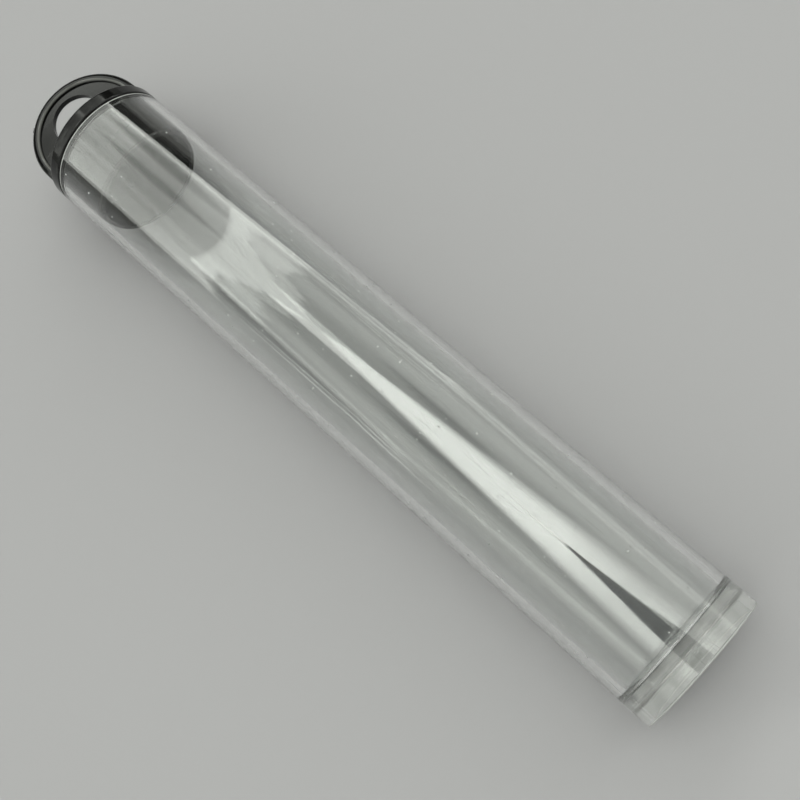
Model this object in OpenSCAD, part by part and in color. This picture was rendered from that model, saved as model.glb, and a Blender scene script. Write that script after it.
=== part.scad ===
// Clear storage tube for a set of dice, with a push-in hang cap, lying on its side.
// Millimetres, +Z up. The tube's axis runs along X, with the cap towards -X and the foot towards +X.
// The origin is under the middle of the whole length, at the surface that the tube lies on.

/* [Tube] */
// Outside diameter of the tube
tube_d = 25.4; // [22:0.1:40]
// Length of the tube, from its mouth to the edge of its foot
tube_len = 140; // [80:1:220]
// Thickness of the wall at the mouth
tube_wall = 1.5; // [1:0.1:2.5]
// Draft of the bore: how much the wall has thickened by the time it meets the floor
bore_draft = 0.3; // [0:0.05:0.6]
// Rounding of the rim at the mouth
mouth_round = 0.4; // [0.1:0.05:0.5]

/* [Foot] */
// Thickness of the floor that closes the tube
floor_t = 1.7; // [1:0.1:4]
// Radius of the fillet where the bore meets the floor
floor_fillet = 1.3; // [0.4:0.1:3]
// Height of the open foot below the floor
foot_h = 3.3; // [1.5:0.1:8]
// Thickness of the foot's wall
foot_wall = 1.6; // [1.2:0.1:2.5]
// Rounding of the foot's lower edges
foot_round = 0.4; // [0.1:0.05:0.5]
// Radius of the fillet inside the foot, under the floor
foot_fillet = 0.8; // [0.2:0.1:1.2]
// Diameter of the stub that the moulding gate leaves under the floor
gate_d = 2.4; // [1:0.1:4]
// Height of that stub
gate_h = 0.6; // [0.2:0.1:1]

/* [Cap] */
// Thickness of the flange that closes the mouth
flange_t = 2.6; // [1:0.1:4]
// Rounding of the flange's edges
flange_round = 0.4; // [0.1:0.05:0.5]
// Depth of the plug inside the tube
plug_len = 11; // [6:0.5:25]
// Thickness of the plug's wall
plug_wall = 1.0; // [0.6:0.1:2]
// Gap between the plug and the bore, on the radius
plug_gap = 0.05; // [0.02:0.01:0.1]
// Length of the tapered lead at the plug's end
lead_len = 0.5; // [0.3:0.1:4]
// How far the lead draws in, on the radius
lead_in = 0.2; // [0.1:0.05:0.5]
// Radius of the fillet inside the plug, round its end wall
plug_fillet = 0.8; // [0.2:0.1:2]

/* [Hang loop] */
// How far the loop's sides stand in from the flange's edge
loop_inset = 0.7; // [0:0.1:3]
// Length of the loop's straight sides
loop_straight = 3.9; // [3:0.1:15]
// Thickness of the web
web_t = 1.2; // [0.8:0.1:2]
// Width of the bead round the edge
bead_w = 1.7; // [1.7:0.1:3]
// Thickness of the bead
bead_t = 2.6; // [2:0.1:5]
// Rounding of the bead's edges
bead_round = 0.8; // [0.1:0.05:0.8]
// Diameter of the hole for the hook
hole_d = 10.4; // [4:0.1:12]
// Web left between the hole and the bead at the tip
hole_web = 1.1; // [0.5:0.1:3]
// Size of the fillet where the web meets the flange
root_fillet = 1.0; // [0.3:0.1:1.5]
// Width of the nub that the moulding gate leaves on the bead
nub_w = 1.0; // [0.6:0.1:1.6]
// How far the nub stands out of the bead
nub_out = 0.25; // [0.1:0.05:0.4]
// Angle of the nub round the loop, from the tip
nub_angle = 37; // [20:1:70]

/* [Hidden] */
$fn = 96;
// Overrun of every cut, and overlap of what is joined
over = 0.2;
// Steps in each quarter of a rounded edge
arc_steps = 6;

tube_r = tube_d/2;
mouth_bore_r = tube_r - tube_wall;
floor_y = tube_len - foot_h - floor_t;
floor_bore_r = mouth_bore_r - bore_draft;
foot_in_r = tube_r - foot_wall;
plug_tip_r = bore_r(plug_len) - plug_gap - lead_in;
loop_r = tube_r - loop_inset;
loop_centre = flange_t + loop_straight;
tip = loop_centre + loop_r;
hole_centre = tip - bead_w - hole_web - hole_d/2;
// Place of the mouth, with the whole length centred on the origin
mouth_x = (tip - tube_len)/2;

// Radius of the drafted bore at a depth below the mouth
function bore_r(depth) = mouth_bore_r - bore_draft*depth/floor_y;

// Points of a round edge about a centre, from one angle to another
function arc(x, y, r, from, to) =
    [for (i = [0:arc_steps]) let (a = from + (to - from)*i/arc_steps) [x + r*cos(a), y + r*sin(a)]];

// Turns a profile about the tube's axis: its X is the radius, its Y the distance from the mouth
module turned() {
    translate([mouth_x, 0, tube_r]) rotate([0, 90, 0]) rotate_extrude() children();
}

// Lays flat work in the loop's plane, with its X running from the mouth towards the tip
module in_loop_plane() {
    translate([mouth_x, 0, tube_r]) mirror([1, 0, 0]) children();
}

// Half section of the tube: mouth, outside, foot, floor and bore, in that order
module tube_profile() {
    polygon(concat(
        arc(mouth_bore_r + mouth_round, mouth_round, mouth_round, 180, 270),
        arc(tube_r - mouth_round, mouth_round, mouth_round, 270, 360),
        arc(tube_r - foot_round, tube_len - foot_round, foot_round, 0, 90),
        arc(foot_in_r + foot_round, tube_len - foot_round, foot_round, 90, 180),
        arc(foot_in_r - foot_fillet, tube_len - foot_h + foot_fillet, foot_fillet, 0, -90),
        [[gate_d/2, tube_len - foot_h],
         [gate_d/2, tube_len - foot_h + gate_h],
         [0, tube_len - foot_h + gate_h],
         [0, floor_y]],
        arc(floor_bore_r - floor_fillet, floor_y - floor_fillet, floor_fillet, 90, 0)
    ));
}

// The tube with its floor and foot
module clear_tube() {
    color([0.86, 0.89, 0.88, 0.4]) turned() tube_profile();
}

// Half section of the cap's turned part: flange, plug, lead and the hollow inside
module cap_profile() {
    cup_r = bore_r(0) - plug_gap - plug_wall;
    tip_in_r = bore_r(plug_len) - plug_gap - plug_wall;
    polygon(concat(
        [[0, -flange_t]],
        arc(tube_r - flange_round, -flange_t + flange_round, flange_round, 270, 360),
        arc(tube_r - flange_round, -flange_round, flange_round, 0, 90),
        [[bore_r(0) - plug_gap, 0],
         [bore_r(plug_len - lead_len) - plug_gap, plug_len - lead_len],
         [plug_tip_r, plug_len],
         [tip_in_r, plug_len]],
        arc(cup_r - plug_fillet, plug_fillet, plug_fillet, 0, -90),
        [[0, 0]]
    ));
}

// Outline of the loop, inset from its edge, from inside the flange to the tip
module loop_outline(inset) {
    intersection() {
        union() {
            translate([loop_centre, 0]) circle(r = loop_r - inset);
            translate([0, inset - loop_r]) square([loop_centre, 2*(loop_r - inset)]);
        }
        translate([flange_t/2, -loop_r]) square([tip, 2*loop_r]);
    }
}

// Section across the bead, with its outer face at X = 0 and its middle at Y = 0
module bead_section() {
    high = bead_t/2 - bead_round;
    polygon(concat(
        arc(-bead_round, high, bead_round, 0, 90),
        arc(bead_round - bead_w, high, bead_round, 90, 180),
        arc(bead_round - bead_w, -high, bead_round, 180, 270),
        arc(-bead_round, -high, bead_round, 270, 360)
    ));
}

// The bead: half a turn round the tip and two straight sides that run into the flange
module loop_bead() {
    translate([loop_centre, 0, 0]) rotate([0, 0, -90])
        rotate_extrude(angle = 180) translate([loop_r, 0]) bead_section();
    for (side = [0, 1]) mirror([0, side, 0])
        translate([flange_t/2, loop_r, 0]) rotate([90, 0, 90])
            linear_extrude(height = loop_centre - flange_t/2) bead_section();
}

// The gate's nub on the bead's outer face
module gate_nub() {
    translate([loop_centre, 0, 0]) rotate([0, 0, -nub_angle])
        translate([loop_r - bead_w/2, -nub_w/2, -nub_w/2])
            cube([bead_w/2 + nub_out, nub_w, nub_w]);
}

// The fillet along the root of the web, on both its faces
module loop_root() {
    half_wide = loop_r - bead_w/2;
    half_high = web_t/2 + root_fillet;
    difference() {
        translate([flange_t - over, -half_wide, -half_high])
            cube([root_fillet + over, 2*half_wide, 2*half_high]);
        for (side = [-1, 1])
            translate([flange_t + root_fillet, 0, side*half_high]) rotate([90, 0, 0])
                cylinder(r = root_fillet, h = 2*(half_wide + over), center = true);
    }
}

// The push-in cap with its hang loop, moulded in one
module hang_cap() {
    color([0.06, 0.06, 0.06]) {
        turned() cap_profile();
        in_loop_plane() difference() {
            union() {
                translate([0, 0, -web_t/2]) linear_extrude(height = web_t) loop_outline(bead_w/2);
                loop_bead();
                gate_nub();
                loop_root();
            }
            translate([hole_centre, 0, 0]) cylinder(d = hole_d, h = bead_t + 2*over, center = true);
        }
    }
}

clear_tube();
hang_cap();
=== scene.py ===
import math

import bpy
from mathutils import Matrix, Vector


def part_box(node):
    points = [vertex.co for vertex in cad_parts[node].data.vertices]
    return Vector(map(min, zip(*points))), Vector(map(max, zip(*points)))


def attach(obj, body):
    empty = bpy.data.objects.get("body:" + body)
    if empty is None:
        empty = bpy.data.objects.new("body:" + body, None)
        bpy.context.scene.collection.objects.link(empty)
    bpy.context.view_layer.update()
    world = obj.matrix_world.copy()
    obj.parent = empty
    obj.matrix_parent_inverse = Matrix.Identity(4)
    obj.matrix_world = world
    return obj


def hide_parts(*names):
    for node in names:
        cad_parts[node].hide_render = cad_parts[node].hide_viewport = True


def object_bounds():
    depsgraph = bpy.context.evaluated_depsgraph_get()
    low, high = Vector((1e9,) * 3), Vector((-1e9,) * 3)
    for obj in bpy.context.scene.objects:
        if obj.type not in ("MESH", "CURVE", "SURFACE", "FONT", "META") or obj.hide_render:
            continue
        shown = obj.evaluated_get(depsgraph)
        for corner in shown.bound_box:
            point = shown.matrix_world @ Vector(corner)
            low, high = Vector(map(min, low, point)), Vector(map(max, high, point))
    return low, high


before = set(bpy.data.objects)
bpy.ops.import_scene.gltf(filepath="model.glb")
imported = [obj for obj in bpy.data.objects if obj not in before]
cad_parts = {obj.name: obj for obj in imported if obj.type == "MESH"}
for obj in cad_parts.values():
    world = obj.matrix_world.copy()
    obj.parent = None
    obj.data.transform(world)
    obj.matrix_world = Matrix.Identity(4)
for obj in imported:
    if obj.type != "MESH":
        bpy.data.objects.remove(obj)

cad_low, cad_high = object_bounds()


# The table: a pale matt sheet that runs out to the backdrop, far behind the tube.
# It keeps the tube's shadow and shows through the clear wall.
class Wire:
    """One output of a shader node. Arithmetic on it adds Math nodes."""

    def __init__(self, finish, socket):
        self.finish = finish
        self.socket = socket

    def maths(self, operation, *others):
        inputs = dict(enumerate((self,) + others))
        return self.finish.node("ShaderNodeMath", {"operation": operation}, inputs)

    def __add__(self, other):
        return self.maths("ADD", other)

    __radd__ = __add__

    def __sub__(self, other):
        return self.maths("SUBTRACT", other)

    def __rsub__(self, other):
        return self * -1 + other

    def __mul__(self, other):
        return self.maths("MULTIPLY", other)

    __rmul__ = __mul__

    def __truediv__(self, other):
        return self.maths("DIVIDE", other)

    def above(self, edge, soft):
        """0 below the edge and 1 above it, over a soft step."""
        share = (self - edge) / (2 * soft) + 0.5
        return self.finish.node("ShaderNodeClamp", {}, {"Value": share})

    def outlet(self, name):
        """Another output of the same node."""
        return Wire(self.finish, self.socket.node.outputs[name])


class Finish:
    """A material or world under construction."""

    def __init__(self, owner, output="ShaderNodeOutputMaterial"):
        owner.use_nodes = True
        self.owner = owner
        self.tree = owner.node_tree
        self.tree.nodes.clear()
        self.out = self.tree.nodes.new(output)

    def node(self, kind, settings=None, inputs=None, outlet=0):
        """A node of that kind: its settings first, then the values or links of its sockets."""
        made = self.tree.nodes.new(kind)
        for name, value in (settings or {}).items():
            if name == "stops":
                ramp = made.color_ramp
                while len(ramp.elements) < len(value):
                    ramp.elements.new(0.5)
                for stop, (place, level) in zip(ramp.elements, value):
                    stop.position = place
                    stop.color = (level, level, level, 1)
            else:
                setattr(made, name, value)
        for name, value in (inputs or {}).items():
            socket = made.inputs[name]
            if isinstance(value, Wire):
                self.tree.links.new(value.socket, socket)
            else:
                socket.default_value = value
        return Wire(self, made.outputs[outlet])

    def surface(self, shader):
        self.tree.links.new(shader.socket, self.out.inputs["Surface"])


sheet_roughness = 0.8
sheet_sheen = 0.1


def matt_sheet(name, colour, corners, faces):
    """A plain matt sheet, at the level that the tube lies on."""
    finish = Finish(bpy.data.materials.new("pale_" + name))
    finish.surface(
        finish.node(
            "ShaderNodeBsdfPrincipled",
            {},
            {"Base Color": colour, "Roughness": sheet_roughness, "Specular IOR Level": sheet_sheen},
        )
    )
    mesh = bpy.data.meshes.new(name)
    mesh.from_pydata(corners, [], faces)
    mesh.materials.append(finish.owner)
    sheet = bpy.data.objects.new(name, mesh)
    sheet.location.z = cad_low.z
    bpy.context.scene.collection.objects.link(sheet)
    return sheet


table_half = 3.0
table_colour = (0.475, 0.467, 0.482, 1)
table_corners = [(x * table_half, y * table_half, 0) for x, y in ((-1, -1), (1, -1), (1, 1), (-1, 1))]
table = matt_sheet("table", table_colour, table_corners, [(0, 1, 2, 3)])

# The backdrop: a plain pale sheet that stands up all round the table.
# It hides the lowest part of the light from view.
backdrop_colour = (0.7, 0.7, 0.69, 1)
backdrop_height = 0.64
backdrop_radius = 2.95
backdrop_sides = 96
backdrop_corners = []
backdrop_faces = []
for side in range(backdrop_sides):
    angle = math.tau * side / backdrop_sides
    x, y = backdrop_radius * math.cos(angle), backdrop_radius * math.sin(angle)
    backdrop_corners += [(x, y, 0), (x, y, backdrop_height)]
    here, onward = 2 * side, 2 * ((side + 1) % backdrop_sides)
    backdrop_faces.append((here, here + 1, onward + 1, onward))
backdrop = matt_sheet("backdrop", backdrop_colour, backdrop_corners, backdrop_faces)

# The light: a wide soft ceiling over a pale horizon, with a bright window beyond the cap.
# Two bright strips meet overhead and part towards the foot, with a dark wedge between them.
# Turn is the angle in degrees round the tube from straight up, and lean the slope along it.
# The horizon lights the outer table and the backdrop, which all but hides it from the tube
horizon_light = 0.35
horizon_top = 0.16
horizon_blur = 0.05
upper_light = 0.04
foot_light = 0.2
foot_start = 0.4
foot_blur = 0.2
light_tint = (0.97, 1.0, 0.935, 1)
# Half widths of the soft steps at most edges, in turn and in lean
crisp_turn = 0.6
crisp_lean = 0.004
tear_grain = 11.0
sky = Finish(bpy.data.worlds.new("soft_studio"), "ShaderNodeOutputWorld")
toward = sky.node("ShaderNodeTexCoord", {}, {}, "Generated")
along = sky.node("ShaderNodeSeparateXYZ", {}, {"Vector": toward}, "X")
across = along.outlet("Y")
upward = along.outlet("Z")
lean = along / (across * across + upward * upward).maths("SQRT").maths("MAXIMUM", 0.001)
turn = across.maths("ARCTAN2", upward) * math.degrees(1)
torn = sky.node("ShaderNodeTexNoise", {}, {"Vector": toward, "Scale": tear_grain, "Detail": 3.0}) - 0.5


def between(value, low, high, soft):
    """1 between the two edges and 0 outside them."""
    return value.above(low, soft) * (1 - value.above(high, soft))


def ramp(value, places):
    """Straight lines between (place, level) pairs."""
    low, high = places[0][0], places[-1][0]
    stops = [((place - low) / (high - low), level) for place, level in places]
    share = (value - low) / (high - low)
    return value.finish.node("ShaderNodeValToRGB", {"stops": stops}, {"Fac": share})


def past(place):
    """How far the lean is beyond that place, and zero before it."""
    return (lean - place).maths("MAXIMUM", 0)


def edge(at_zero, slope, bend=0, bend_start=0):
    """The turn of an edge that runs along the tube, which may bend once."""
    straight = slope * lean + at_zero
    return straight + bend * past(bend_start) if bend else straight


def lens(lean_middle, lean_half, turn_middle, turn_half, soft):
    """A slim pointed patch, 1 inside."""
    share = (lean - lean_middle) / lean_half
    room = (1 - share * share) * turn_half - (turn - turn_middle).maths("ABSOLUTE")
    return room.above(0, soft)


# The ceiling, with streaks that fan out towards the foot
ceiling_light = 1.3
ceiling_start = -0.788
ceiling_start_blur = 0.003
ceiling_end = 0.32
ceiling_end_blur = 0.25
fan_spread = 1.6
fan_growth = 1.2
fan_least = 0.7
near_side = edge(at_zero=-69.5, slope=20, bend=-80, bend_start=-0.33)
far_side = edge(at_zero=85.8, slope=41, bend=150, bend_start=-0.3)
fan = turn / (fan_spread + fan_growth * lean).maths("MAXIMUM", fan_least)
streak_levels = [(-90, 0.85), (-66, 0.85), (-61, 1.0), (-57, 0.75), (-49, 0.65), (-42, 1.0)]
streak_levels += [(-35, 0.8), (-27, 0.55), (-14, 0.6), (3, 0.75), (12, 0.65), (22, 0.6)]
streak_levels += [(30, 0.7), (37, 1.0), (44, 0.8), (52, 0.6), (62, 0.8)]
streak = ramp(fan, streak_levels)
ceiling = between(turn, near_side, far_side, crisp_turn) * lean.above(ceiling_start, ceiling_start_blur)
ceiling = ceiling * (1 - lean.above(ceiling_end, ceiling_end_blur))

# The window, whose torn edge is given as minus the lean by the turn. It hides the ceiling's own light.
window_light = 2.6
window_hides = 0.75
window_tear = 0.07
window_blur = 0.0015
window_edge = [(-80, 0.528), (-60, 0.545), (-45, 0.54), (-30, 0.52), (-15, 0.478), (-12, 0.44)]
window_edge += [(3, 0.43), (8, 0.455), (20, 0.465), (30, 0.485), (60, 0.473)]
window = ceiling * (lean * -1 + window_tear * torn).above(ramp(turn, window_edge), window_blur)

# The two bright strips, joined in a bright core, with dimmer arms by the foot
strip_light = 3.7
strips_hide = 0.7
strip_edge_share = 0.6
strips_start = -0.48
strips_end = 0.1
strips_end_blur = 0.01
arm_start = -0.07
arm_blur = 0.04
arm_fade = 0.25
core_start = -0.35
core_near_inset = 30
core_far_inset = 20
core_blur = 4
strips_blur_start = -0.3
strips_blur_least = 0.5
strips_blur_growth = 1.5
strips_blur = strips_blur_least + strips_blur_growth * past(strips_blur_start)
strips_near = edge(at_zero=-14.5, slope=0, bend=-77, bend_start=-0.345)
strips_far = edge(at_zero=60, slope=150, bend=-50, bend_start=-0.38)
strips = between(turn, strips_near, strips_far, strips_blur)
strips = strips * between(lean, strips_start, strips_end, strips_end_blur)
core_near = strips_near + core_near_inset * past(core_start)
core_far = strips_far - core_far_inset * past(core_start)
core = between(turn, core_near, core_far, core_blur)
arms = lean.above(arm_start, arm_blur)
strip_level = strip_light * (strip_edge_share + (1 - strip_edge_share) * core) * (1 - arm_fade * arms)

# The dark wedge that parts the strips
wedge_depth = 0.96
wedge_tip = -3
wedge_start = -0.105
wedge_blunt = -0.1
wedge_near_opening = 150
wedge_near_easing = 380
wedge_far_opening = 122
wedge_tear = 7
cleft = past(wedge_start)
wedge_near = wedge_tip - wedge_near_opening * cleft + wedge_near_easing * cleft * cleft
wedge_far = wedge_tip + wedge_far_opening * cleft
wedge = between(turn + wedge_tear * torn, wedge_near, wedge_far, crisp_turn)
wedge = wedge * lean.above(wedge_blunt, crisp_lean)

# Bright lines along both sides of the ceiling
rim_light = 2.2
side_strip_light = 1.5
near_rim_start = -0.54
near_rim_width = 2.5
near_rim_growth = 20
near_rim_growth_start = -0.33
near_rim_blur = 0.5
far_rim_end = -0.2
far_rim_width = 4.5
far_rim_blur = 2.0
side_strip_start = -0.32
side_strip_start_blur = 0.04
side_strip_blur = 1.0
near_rim_inside = near_side + near_rim_width + near_rim_growth * past(near_rim_growth_start)
near_rim = between(turn, near_side, near_rim_inside, near_rim_blur)
near_rim = near_rim * between(lean, near_rim_start, strips_end, crisp_lean)
far_rim = turn.above(far_side - far_rim_width, far_rim_blur) * (1 - turn.above(far_side, crisp_turn))
far_rim = far_rim * between(lean, ceiling_start, far_rim_end, ceiling_start_blur)
side_strip_near = edge(at_zero=63, slope=-25)
side_strip_far = edge(at_zero=69.5, slope=-20)
side_strip = between(turn, side_strip_near, side_strip_far, side_strip_blur)
side_strip = side_strip * between(lean, side_strip_start, strips_end, side_strip_start_blur)

# Dark patches in the ceiling: a long one by its near side, then slim ones, each with its strength first
gap_depth = 0.9
side_gap_start = -0.532
side_gap_end = -0.25
side_gap_top = -75.5
side_gap_foot = edge(at_zero=-77.5, slope=-32, bend=-120, bend_start=-0.33)
gaps = between(turn, side_gap_top, side_gap_foot, crisp_turn)
gaps = gaps * between(lean, side_gap_start, side_gap_end, crisp_lean)
for strength, *patch in [
    (1, -0.24, 0.075, -30.5, 2.8, crisp_turn),
    (1, -0.27, 0.08, 25.5, 3.6, crisp_turn),
    (0.4, -0.66, 0.1, 5, 7, 3),
    (0.45, -0.66, 0.1, 39, 10, 4),
]:
    gaps = gaps + strength * lens(*patch)

# Past the window, a small light that the loop's web reflects, with a slanting edge
web_light = 4.0
web_start = -0.9
web_end = -0.79
web_near = -4
web_far = 10
web_blur = 1.5
web_slant = 0.008
web_edge = 0.84
web_edge_blur = 0.014
web_patch = between(lean, web_start, web_end, crisp_lean) * between(turn, web_near, web_far, web_blur)
web_patch = web_patch * (lean * -1 + web_slant * turn).above(web_edge, web_edge_blur)

light = horizon_light * (1 - upward.above(horizon_top, horizon_blur)) + upper_light
light = light + foot_light * lean.above(foot_start, foot_blur)
light = light + ceiling * streak * ceiling_light
light = light + window * (window_light - ceiling_light * window_hides)
light = light * (1 - gap_depth * gaps)
light = light + strips * (strip_level - ceiling_light * strips_hide)
light = light + (near_rim + far_rim) * rim_light + side_strip * side_strip_light
light = light * (1 - wedge_depth * wedge * strips)
light = light + web_patch * web_light
sky.surface(sky.node("ShaderNodeBackground", {}, {"Color": light_tint, "Strength": light}))
bpy.context.scene.world = sky.owner

# The camera: close above the foot's end, looking back along the tube, as the photograph was taken.
camera_place = (0.06968, -0.0098, 0.19093)
camera_aim = (0.01479, 0.00002, 0.0127)
camera_roll = math.radians(38.29)
camera_lens_mm = 49.32
camera_sensor_mm = 36.0
camera = bpy.data.objects.new("camera", bpy.data.cameras.new("camera"))
camera.data.sensor_width = camera_sensor_mm
camera.data.lens = camera_lens_mm
camera.data.clip_start = 0.01
camera.data.clip_end = 20.0
camera.location = camera_place
sight = (Vector(camera_aim) - Vector(camera_place)).to_track_quat("-Z", "Y")
camera.rotation_mode = "QUATERNION"
camera.rotation_quaternion = sight @ Matrix.Rotation(-camera_roll, 3, "Z").to_quaternion()
bpy.context.scene.collection.objects.link(camera)
bpy.context.scene.camera = camera
bpy.context.scene.view_settings.view_transform = "Standard"

# The tube: clear polystyrene, injection moulded with its floor and open foot in one.
# The mould's core is drafted, so the bore narrows to the floor. The gate left a stub under it.
# Handling has left fine lengthwise scuffs and specks on its outside.
tube_low, tube_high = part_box("clear_tube")
tube_length = tube_high.x - tube_low.x
tube_radius = (tube_high.z - tube_low.z) / 2
mouth_bore = 0.0112
mouth_edge = 0.0004
floor_bore = 0.0109
floor_top = 0.135
floor_corner = 0.0013
foot_height = 0.0033
foot_bore = 0.0111
foot_edge = 0.0004
foot_corner = 0.0008
gate_radius = 0.0012
gate_height = 0.0006
round_steps = 10
turned_steps = 256


def rounding(centre_radius, centre_depth, size, start, stop, facing=1):
    """Points of a rounded edge, each with the way its surface faces, outward or into a fillet."""
    points = []
    for step in range(round_steps + 1):
        angle = math.radians(start + (stop - start) * step / round_steps)
        side, down = math.cos(angle), math.sin(angle)
        points.append((centre_radius + size * side, centre_depth + size * down, facing * side, facing * down))
    return points


def turned_piece(name, strokes, mouth, axis_height):
    """A mesh turned about the tube's axis from strokes of (radius, depth, normal) points.
    Straight faces join the strokes, and every face keeps its true normals."""
    ring = [(*point, number) for number, stroke in enumerate(strokes) for point in stroke]
    places, rows = [], []
    for radius, depth, *_ in ring:
        count = turned_steps if radius > 0 else 1
        rows.append(range(len(places), len(places) + count))
        for step in range(count):
            angle = math.tau * step / turned_steps
            places.append((mouth + depth, radius * math.cos(angle), axis_height + radius * math.sin(angle)))
    faces, normals = [], []
    for here, (start, row) in enumerate(zip(ring, rows)):
        there = (here + 1) % len(ring)
        stop, next_row = ring[there], rows[there]
        if len(row) == len(next_row) == 1:
            continue
        if start[4] == stop[4] and len(strokes[start[4]]) > 1:
            faced = start[2:4], stop[2:4]
        else:
            run = Vector((stop[0] - start[0], stop[1] - start[1])).normalized()
            faced = (run.y, -run.x), (run.y, -run.x)
        for step in range(turned_steps):
            onward = (step + 1) % turned_steps
            corners = [(row, step, faced[0]), (row, onward, faced[0])]
            corners += [(next_row, onward, faced[1]), (next_row, step, faced[1])]
            kept = []
            for places_row, place, (out, down) in corners:
                vertex = places_row[place] if len(places_row) > 1 else places_row[0]
                if vertex not in [seen for seen, _ in kept]:
                    angle = math.tau * place / turned_steps
                    kept.append((vertex, (down, out * math.cos(angle), out * math.sin(angle))))
            faces.append([vertex for vertex, _ in kept])
            normals.extend(normal for _, normal in kept)
    mesh = bpy.data.meshes.new(name)
    mesh.from_pydata(places, [], faces)
    mesh.polygons.foreach_set("use_smooth", [True] * len(faces))
    mesh.normals_split_custom_set(normals)
    piece = bpy.data.objects.new(name, mesh)
    bpy.context.scene.collection.objects.link(piece)
    return piece


under_floor = tube_length - foot_height
tube_strokes = [
    rounding(mouth_bore + mouth_edge, mouth_edge, mouth_edge, 180, 270),
    rounding(tube_radius - mouth_edge, mouth_edge, mouth_edge, 270, 360),
    rounding(tube_radius - foot_edge, tube_length - foot_edge, foot_edge, 0, 90),
    rounding(foot_bore + foot_edge, tube_length - foot_edge, foot_edge, 90, 180),
    rounding(foot_bore - foot_corner, under_floor + foot_corner, foot_corner, 0, -90, -1),
    [(gate_radius, under_floor, 0, 0)],
    [(gate_radius, under_floor + gate_height, 0, 0)],
    [(0, under_floor + gate_height, 0, 0)],
    [(0, floor_top, 0, 0)],
    rounding(floor_bore - floor_corner, floor_top - floor_corner, floor_corner, 90, 0, -1),
]
tube = turned_piece("clear_tube_turned", tube_strokes, tube_low.x, tube_low.z + tube_radius)

clear_tint = (0.968, 0.978, 0.972, 1)
clear_ior = 1.59
# The pale colour of real dust and marks, and of the painted highlights at the mouth and foot
dust_and_highlight_colour = (0.85, 0.86, 0.84, 1)
# How fine each kind of mark is: marks per metre along the tube and across it
rub_grain = (30, 220, 220)
hair_grain = (60, 3200, 3200)
haze_grain = (60, 300, 300)
flow_grain = (14, 90, 90)
speck_grain = 700.0
speck_size = 0.14
speck_rarity = 0.9
relief = 0.00001
# How much each kind of mark veils the clear plastic, and how much it dulls the gloss
haze_veil = 0.02
hairline_veil = 0.16
speck_veil = 0.45
# The mouth and foot-edge veils below are painted highlights
mouth_highlight_veil = 0.6
foot_edge_highlight_veil = 0.4
frost_veil = 0.22
hairline_dulling = 0.1
speck_dulling = 0.3
clear = Finish(bpy.data.materials.new("clear_polystyrene"))
on_tube = clear.node("ShaderNodeTexCoord", {}, {}, "Object")


def stretched(finish, vector, grain, detail=2.0):
    """Noise with that many marks per metre along each axis."""
    placed = finish.node("ShaderNodeVectorMath", {"operation": "MULTIPLY"}, {0: vector, 1: grain})
    return finish.node("ShaderNodeTexNoise", {}, {"Vector": placed, "Scale": 1.0, "Detail": detail})


rubbed = stretched(clear, on_tube, rub_grain).above(0.56, 0.1)
hairlines = stretched(clear, on_tube, hair_grain).above(0.66, 0.03) * rubbed
haze = stretched(clear, on_tube, haze_grain, 4.0).above(0.55, 0.25)
specks = clear.node("ShaderNodeTexVoronoi", {"feature": "F1"}, {"Vector": on_tube, "Scale": speck_grain})
chance = clear.node("ShaderNodeTexWhiteNoise", {}, {"Vector": specks.outlet("Position")})
dots = (1 - specks.above(speck_size, 0.04)) * chance.above(speck_rarity, 0.01)

# A painted highlight line round the outside of the mouth, a painted highlight on the foot's edge, and the
# frost below the floor
depth = clear.node("ShaderNodeSeparateXYZ", {}, {"Vector": on_tube}, "X") - tube_low.x
axis = (0, 0, tube_low.z + tube_radius)
from_axis = clear.node("ShaderNodeVectorMath", {"operation": "SUBTRACT"}, {0: on_tube, 1: axis})
from_axis = clear.node("ShaderNodeVectorMath", {"operation": "MULTIPLY"}, {0: from_axis, 1: (0, 1, 1)})
radius = clear.node("ShaderNodeVectorMath", {"operation": "LENGTH"}, {0: from_axis}, "Value")
# Painted highlight: a pale line round the outside of the mouth
mouth_highlight_line = between(depth, mouth_edge * 0.8, mouth_edge * 1.25, mouth_edge * 0.1)
painted_mouth_highlight = mouth_highlight_line * radius.above(tube_radius - mouth_edge, mouth_edge * 0.2)
# Painted highlight: a pale band along the foot's end edge
painted_foot_edge_highlight = depth.above(tube_length - foot_edge * 0.6, foot_edge * 0.2)
foot_frost = depth.above(floor_top, 0.0005) * (haze * 0.4 + 0.6)
veil_and_highlights = haze * haze_veil + hairlines * hairline_veil + dots * speck_veil
# The painted highlights at the mouth and the foot's edge join the real haze, hairlines and specks
veil_and_highlights = veil_and_highlights + painted_mouth_highlight * mouth_highlight_veil + painted_foot_edge_highlight * foot_edge_highlight_veil + foot_frost * frost_veil
flow = stretched(clear, on_tube, flow_grain, 1.0)
form = clear.node("ShaderNodeBump", {}, {"Height": flow * 0.15 + hairlines * 0.08, "Distance": relief})
plastic = clear.node(
    "ShaderNodeBsdfPrincipled",
    {},
    {
        "Base Color": clear_tint,
        "Roughness": hairlines * hairline_dulling + dots * speck_dulling,
        "IOR": clear_ior,
        "Transmission Weight": 1.0,
        "Normal": form,
    },
)
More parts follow.
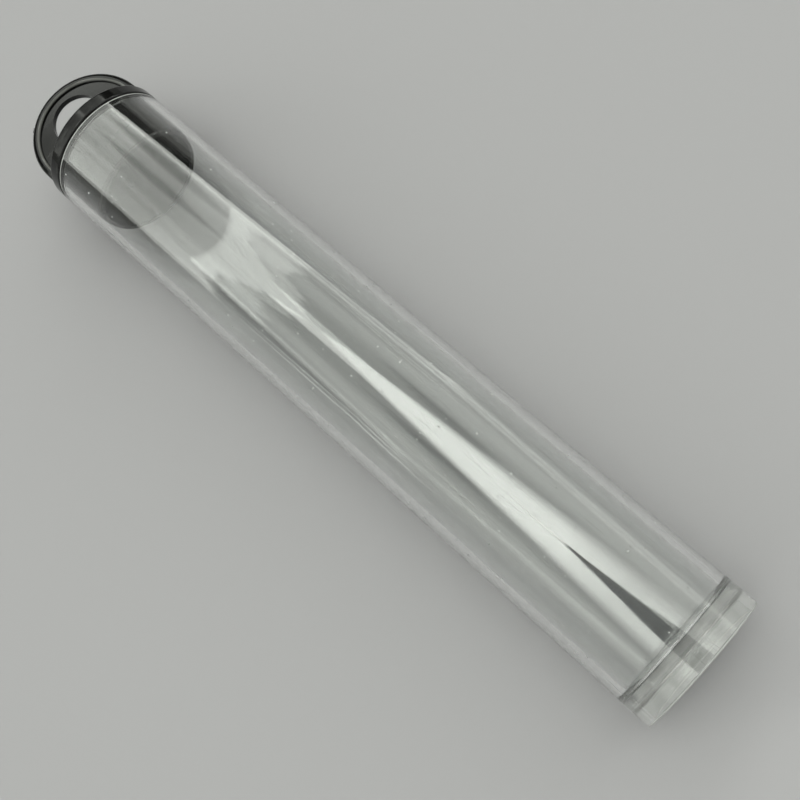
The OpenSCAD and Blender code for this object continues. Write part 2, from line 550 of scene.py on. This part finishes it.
# The pale film: real dust and marks, plus the painted highlights
dust_and_highlight = clear.node("ShaderNodeBsdfDiffuse", {}, {"Color": dust_and_highlight_colour})
clear.surface(clear.node("ShaderNodeMixShader", {}, {0: veil_and_highlights, 1: plastic, 2: dust_and_highlight}))
tube.data.materials.append(clear.owner)
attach(tube, "tube")
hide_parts("clear_tube")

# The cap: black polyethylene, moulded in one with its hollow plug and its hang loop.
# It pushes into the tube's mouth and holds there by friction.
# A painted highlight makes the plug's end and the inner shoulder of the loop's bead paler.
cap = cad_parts["hang_cap"]
cap_low, cap_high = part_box("hang_cap")
loop_radius = 0.012
loop_straight = 0.0039
loop_centre = cap_low.x + loop_radius
loop_height = (cap_low.z + cap_high.z) / 2
shoulder = 0.01048
shoulder_width = 0.00037
shoulder_height = 0.0007
end_depth = 0.0003
black_tone = (0.005, 0.005, 0.0047, 1)
# The pale grey of the real scuffs and of the painted highlights
rubbed_and_highlight_tone = (0.21, 0.21, 0.2, 1)
black_ior = 1.5
black_sheen = 0.35
scuff_paleness = 0.1
# Strength of the painted highlight round the plug's end
end_highlight_strength = 0.25
least_roughness = 0.07
cloud_dulling = 0.06
scuff_dulling = 0.15
skin_strength = 0.2
mould_grain = (1400, 1400, 1400)
cloud_grain = (160, 160, 160)
scuff_grain = (700, 160, 400)
black = Finish(bpy.data.materials.new("black_polyethylene"))
on_cap = black.node("ShaderNodeTexCoord", {}, {}, "Object")
moulded = stretched(black, on_cap, mould_grain, 3.0)
cloud = stretched(black, on_cap, cloud_grain, 3.0)
scuffs = stretched(black, on_cap, scuff_grain, 3.0).above(0.68, 0.06)
along_cap = black.node("ShaderNodeSeparateXYZ", {}, {"Vector": on_cap}, "X")
# Painted highlight: a paler band round the plug's end, broken up by cloud
painted_end_highlight = along_cap.above(cap_high.x - end_depth, 0.0001) * cloud.above(0.45, 0.1)

# The painted highlight line follows the loop: half a turn about its centre, then straight to the flange
across_cap = along_cap.outlet("Y")
before_centre = (along_cap - loop_centre).maths("MINIMUM", 0)
from_centre = (before_centre * before_centre + across_cap * across_cap).maths("SQRT")
off_plane = (along_cap.outlet("Z") - loop_height).maths("ABSOLUTE")
shoulder_highlight_line = between(from_centre, shoulder, shoulder + shoulder_width, 0.00008)
shoulder_highlight_line = shoulder_highlight_line * off_plane.above(shoulder_height, 0.0001)
shoulder_highlight_line = shoulder_highlight_line * (1 - along_cap.above(loop_centre + loop_straight, 0.0002))
# Painted highlight along the inner shoulder of the bead, broken up by cloud
painted_shoulder_highlight = shoulder_highlight_line * (cloud * 0.8 + 0.4)
# Real scuffs plus the painted highlights at the plug's end and the bead's shoulder
wear_and_highlights = scuffs * scuff_paleness + painted_end_highlight * end_highlight_strength + painted_shoulder_highlight
tone_inputs = {"Factor": wear_and_highlights, "A": black_tone, "B": rubbed_and_highlight_tone}
tone = black.node("ShaderNodeMix", {"data_type": "RGBA"}, tone_inputs, "Result")
skin = black.node("ShaderNodeBump", {}, {"Height": moulded, "Strength": skin_strength, "Distance": relief})
black.surface(
    black.node(
        "ShaderNodeBsdfPrincipled",
        {},
        {
            "Base Color": tone,
            "Roughness": least_roughness + cloud * cloud_dulling + scuffs * scuff_dulling,
            "IOR": black_ior,
            "Specular IOR Level": black_sheen,
            "Normal": skin,
        },
    )
)
cap.data.materials.clear()
cap.data.materials.append(black.owner)
